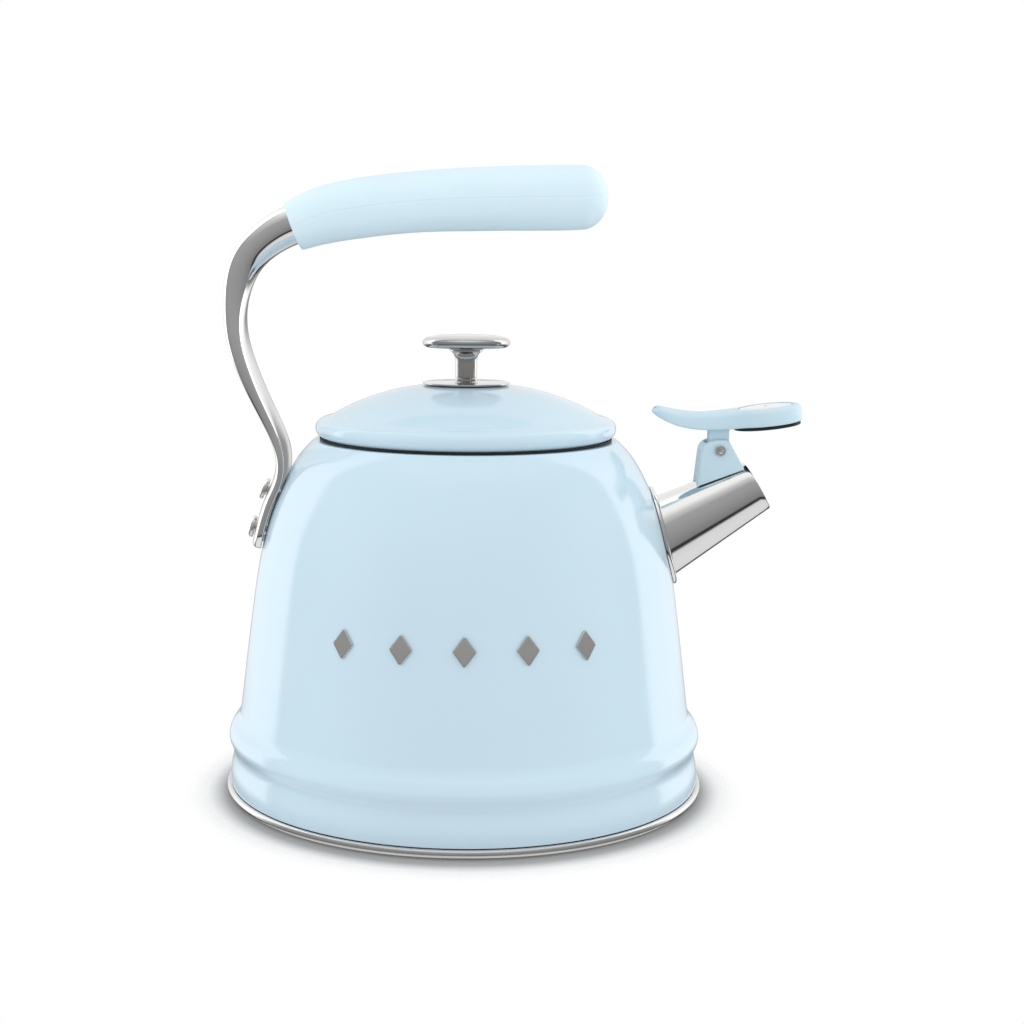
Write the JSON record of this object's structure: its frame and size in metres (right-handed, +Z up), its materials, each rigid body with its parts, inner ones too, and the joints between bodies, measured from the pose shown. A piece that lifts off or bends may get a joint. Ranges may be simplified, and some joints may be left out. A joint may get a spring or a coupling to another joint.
{
  "type": "stovetop whistling kettle",
  "caption": "Stovetop whistling kettle: round enamelled vessel with a lift-off lid and knob, a riveted side handle with a grip, and a short spout closed by a hinged whistle",
  "frame": {"origin": "centre of the flat underside, where the kettle rests on the hob", "axes": "+Z up along the vessel's axis, +X out of the spout, -X to the handle, +Y completes a right-handed frame"},
  "size_m": [0.2244, 0.1876, 0.2421],
  "materials": {
    "enamel": "glossy pale blue vitreous enamel on steel",
    "blue_plastic": "satin pale blue heat-resistant moulded plastic",
    "polished_steel": "mirror-polished stainless steel",
    "brushed_steel": "satin stainless steel",
    "aluminium": "plain heat-spreading aluminium core, sealed in the base",
    "black_rubber": "matt black silicone rubber"
  },
  "bodies": {
    "kettle": {"body_shell": "enamel", "base_pan": "polished_steel", "base_core": "aluminium", "base_cap": "brushed_steel", "trim_stud_1": "brushed_steel", "trim_stud_2": "brushed_steel", "trim_stud_3": "brushed_steel", "trim_stud_4": "brushed_steel", "trim_stud_5": "brushed_steel", "spout_tube": "polished_steel", "spout_flange": "polished_steel", "whistle_bracket": "blue_plastic", "pivot_pin": "brushed_steel", "handle_bar": "polished_steel", "grip": "blue_plastic", "rivet_upper": "brushed_steel", "rivet_lower": "brushed_steel", "rivet_backing": "brushed_steel"},
    "lid": {"lid_shell": "enamel", "lid_pan": "brushed_steel", "lid_gasket": "black_rubber", "knob_plate": "polished_steel", "knob_collar": "polished_steel", "knob_stem": "polished_steel", "knob_cap": "polished_steel", "knob_washer": "brushed_steel", "knob_screw": "brushed_steel"},
    "whistle": {"whistle_lever": "blue_plastic", "whistle_inlay": "brushed_steel", "whistle_plate": "brushed_steel", "whistle_seal": "black_rubber"}
  },
  "joints": [
    {"name": "whistle_flip", "type": "hinge", "parent": "kettle", "child": "whistle", "pos_m": [0.09832, 0, 0.13393], "axis": [0, 1, 0], "range_deg": [0, 66]},
    {"name": "lid_lift", "type": "slide", "parent": "kettle", "child": "lid", "axis": [0, 0, 1], "range_m": [0, 0.033]}
  ]
}
